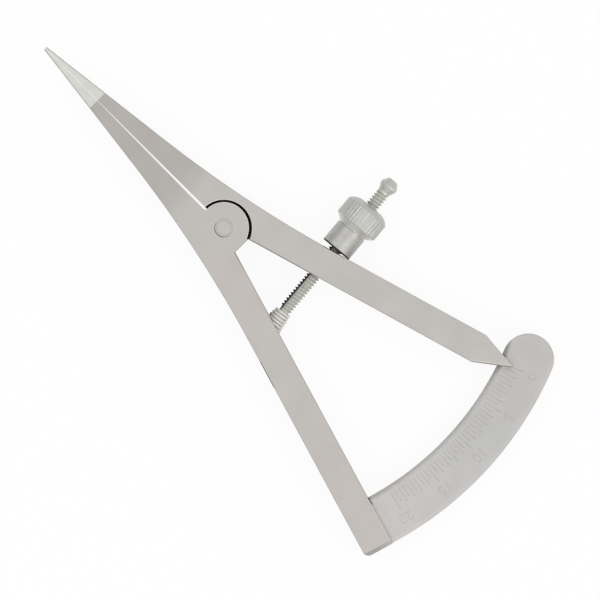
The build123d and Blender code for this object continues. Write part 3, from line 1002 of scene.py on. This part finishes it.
class CALIPER_OT_turn_sleeve(bpy.types.Operator):
    """Turn the smooth sleeve that bears on the pointer arm"""

    bl_idname = "caliper.turn_sleeve"
    bl_label = "Turn the thrust sleeve"

    def execute(self, context):
        sizes = context.scene.caliper_sizes
        start, end, radius = screw_span("thrust_sleeve")
        bore = sizes.bore_radius
        rim = 0.00014
        edge = 0.00006
        profile = [(start + edge, bore), (start, bore + edge)]
        for step in range(7):
            turn = pi / 2 * step / 6
            profile.append((start + rim * (1 - cos(turn)), radius - rim * (1 - sin(turn))))
        profile += [(end - edge, radius), (end, radius - edge), (end, bore + edge), (end - edge, bore),
                    (start + edge, bore)]
        sleeve = turned("turned_sleeve", profile, 96)
        settle_in_mesh(sleeve, screw_frame)
        smooth(sleeve)
        steel = lathe_steel("sleeve_turned_steel", context.scene.caliper_colours.sleeve)
        # Painted shade over the sleeve's foot, where it stands against the arm
        foot_shade = strip(screw_origin, screw_line, 1, 0, start + rim, start + 0.00026)
        shade(steel, 0.05, foot_shade)
        give(sleeve, steel)
        add_to_caliper(sleeve, "thrust_sleeve", "thrust_sleeve")
        return {"FINISHED"}


class CALIPER_OT_knurl_nut(bpy.types.Operator):
    """Turn the thumb nut and cut its straight knurl"""

    bl_idname = "caliper.knurl_nut"
    bl_label = "Knurl the thumb nut"

    def execute(self, context):
        sizes = context.scene.caliper_sizes
        start, end, radius = screw_span("thumb_nut")
        neck = screw_span("thrust_sleeve")[2]
        bore = sizes.bore_radius
        mouth = 0.0013
        face = 0.002
        undercut = 0.00215
        base = start + 0.00012
        flare_end = base + 0.0008
        grip_end = flare_end + 0.0025
        edge = 0.00005
        profile = [(start, bore), (start, undercut), (base, undercut), (base, neck)]
        profile += [(base + edge, neck + edge), (flare_end, radius), (flare_end + edge, radius)]
        profile += arc((grip_end, radius), (end - edge, face + edge), 0.00016, 10)
        profile += [(end, face), (end, mouth), (end - (mouth - bore), bore), (start, bore)]
        teeth = sizes.knurl_teeth
        nut = turned("knurled_nut", profile, 5 * teeth, groove=(teeth, radius, sizes.knurl_depth))
        settle_in_mesh(nut, screw_frame)
        smooth(nut, radians(25))
        steel = lathe_steel("nut_turned_steel", context.scene.caliper_colours.nut)
        # Painted light on the flare under the knurl
        flare_light = strip(screw_origin, screw_line, 1, 0, flare_end - 0.0001, flare_end)
        shade(steel, 1.4, flare_light)
        give(nut, steel)
        add_to_caliper(nut, "thumb_nut", "thumb_nut")
        return {"FINISHED"}


class CALIPER_OT_set_stage(bpy.types.Operator):
    """Set the pale floor, the soft lamps, the surroundings and the camera"""

    bl_idname = "caliper.set_stage"
    bl_label = "Set the stage"

    def execute(self, context):
        stage = context.scene.caliper_stage
        self.add_floor(context.scene.caliper_colours.floor, stage.floor_glow)
        middle = (cad_box[0] + cad_box[1]) / 2
        self.add_lamp("tip_softbox", middle, 1, stage, stage.fill_power)
        self.add_lamp("scale_softbox", middle, -1, stage, stage.key_power)
        self.add_surroundings(context.scene)
        self.add_camera(context.scene, stage)
        context.scene.view_settings.view_transform = "Standard"
        return {"FINISHED"}

    @staticmethod
    def add_floor(colour, glow):
        """Large pale floor at the height that the caliper rests on, clear when seen from below."""
        deselect()
        bpy.ops.mesh.primitive_plane_add(size=6, location=(0, 0, cad_box[0].z))
        floor = bpy.context.object
        floor.name = "studio_floor"
        material = bpy.data.materials.new("pale_floor")
        material.use_nodes = True
        tree = material.node_tree
        shader = tree.nodes["Principled BSDF"]
        shader.inputs["Base Color"].default_value = (*colour, 1)
        shader.inputs["Roughness"].default_value = 0.9
        white = add_node(tree, "ShaderNodeEmission", {"Color": (1, 1, 1, 1), "Strength": 1.0})
        ray = tree.nodes.new("ShaderNodeLightPath")
        seen = ray.outputs["Is Camera Ray"]
        for kind in ("Is Glossy Ray", "Is Transmission Ray"):
            either = add_node(tree, "ShaderNodeMath", operation="MAXIMUM")
            tree.links.new(seen, either.inputs[0])
            tree.links.new(ray.outputs[kind], either.inputs[1])
            seen = either.outputs["Value"]
        lit = blend_shader(tree, between(tree, seen, 0, glow, 0, 1), shader.outputs["BSDF"],
                           white.outputs["Emission"])
        below = tree.nodes.new("ShaderNodeNewGeometry").outputs["Backfacing"]
        clear = tree.nodes.new("ShaderNodeBsdfTransparent")
        shown = blend_shader(tree, below, lit, clear.outputs["BSDF"])
        tree.links.new(shown, tree.nodes["Material Output"].inputs["Surface"])
        floor.data.materials.append(material)

    @staticmethod
    def add_lamp(name, middle, side, stage, power):
        """Square softbox on the tips' side or the scale's, half way up."""
        deselect()
        rise = radians(50)
        towards = Vector((0, side * cos(rise), sin(rise)))
        bpy.ops.object.light_add(type="AREA", location=middle + towards * stage.lamp_distance)
        lamp = bpy.context.object
        lamp.name = name
        lamp.rotation_euler = towards.to_track_quat("Z", "Y").to_euler()
        lamp.data.shape = "SQUARE"
        lamp.data.size = stage.lamp_size
        lamp.data.energy = power

    @staticmethod
    def add_surroundings(scene):
        """Pale studio, brighter overhead than at the horizon and darkest beyond the tips."""
        world = bpy.data.worlds.new("studio")
        scene.world = world
        world.use_nodes = True
        tree = world.node_tree
        direction = tree.nodes.new("ShaderNodeTexCoord").outputs["Generated"]
        parts = tree.nodes.new("ShaderNodeSeparateXYZ")
        tree.links.new(direction, parts.inputs["Vector"])
        level = between(tree, parts.outputs["Z"], 0.78, 1.0, 0.1, 0.8)
        beyond = between(tree, parts.outputs["Y"], 1.0, 0.65, 0.25, 0.95)
        tree.links.new(both(tree, level, beyond), tree.nodes["Background"].inputs["Color"])

    @staticmethod
    def add_camera(scene, stage):
        """Camera straight above the caliper, turned so that the tips point to the upper left."""
        deselect()
        arms_top = pivot.z + half_thickness
        bpy.ops.object.camera_add(
            location=(pivot.x + stage.camera_place[0], pivot.y + stage.camera_place[1],
                      arms_top + stage.camera_distance),
            rotation=(0, 0, stage.camera_turn))
        camera = bpy.context.object
        camera.name = "overhead_camera"
        camera.data.lens = camera.data.sensor_width * stage.camera_distance / stage.frame_width
        camera.data.clip_start = 0.01
        camera.data.clip_end = 20
        scene.camera = camera


class CALIPER_PT_pieces(bpy.types.Panel):
    """Sizes, colours and pieces of the caliper"""

    bl_label = "Caliper"
    bl_idname = "CALIPER_PT_pieces"
    bl_space_type = "VIEW_3D"
    bl_region_type = "UI"
    bl_category = "Caliper"

    def draw(self, context):
        for group in ("caliper_sizes", "caliper_colours", "caliper_stage"):
            values = getattr(context.scene, group)
            box = self.layout.box()
            for name in values.bl_rna.properties.keys():
                if name not in ("rna_type", "name"):
                    box.prop(values, name)
        for operator in operators:
            self.layout.operator(operator.bl_idname)


operators = (
    CALIPER_OT_finish_arms,
    CALIPER_OT_engrave_scale,
    CALIPER_OT_finish_rivet,
    CALIPER_OT_cut_screw,
    CALIPER_OT_facet_bead,
    CALIPER_OT_wind_spring,
    CALIPER_OT_turn_sleeve,
    CALIPER_OT_knurl_nut,
    CALIPER_OT_set_stage,
)
groups = {"caliper_sizes": CaliperSizes, "caliper_colours": CaliperColours, "caliper_stage": CaliperStage}


def register():
    for group in groups.values():
        bpy.utils.register_class(group)
    for name, group in groups.items():
        setattr(bpy.types.Scene, name, PointerProperty(type=group))
    for operator in operators:
        bpy.utils.register_class(operator)
    bpy.utils.register_class(CALIPER_PT_pieces)


def unregister():
    bpy.utils.unregister_class(CALIPER_PT_pieces)
    for operator in reversed(operators):
        bpy.utils.unregister_class(operator)
    for name, group in groups.items():
        delattr(bpy.types.Scene, name)
        bpy.utils.unregister_class(group)


def main():
    register()
    bpy.ops.caliper.finish_arms()
    bpy.ops.caliper.engrave_scale()
    bpy.ops.caliper.finish_rivet()
    bpy.ops.caliper.cut_screw()
    bpy.ops.caliper.facet_bead()
    bpy.ops.caliper.wind_spring()
    bpy.ops.caliper.turn_sleeve()
    bpy.ops.caliper.knurl_nut()
    bpy.ops.caliper.set_stage()


if __name__ == "__main__":
    main()
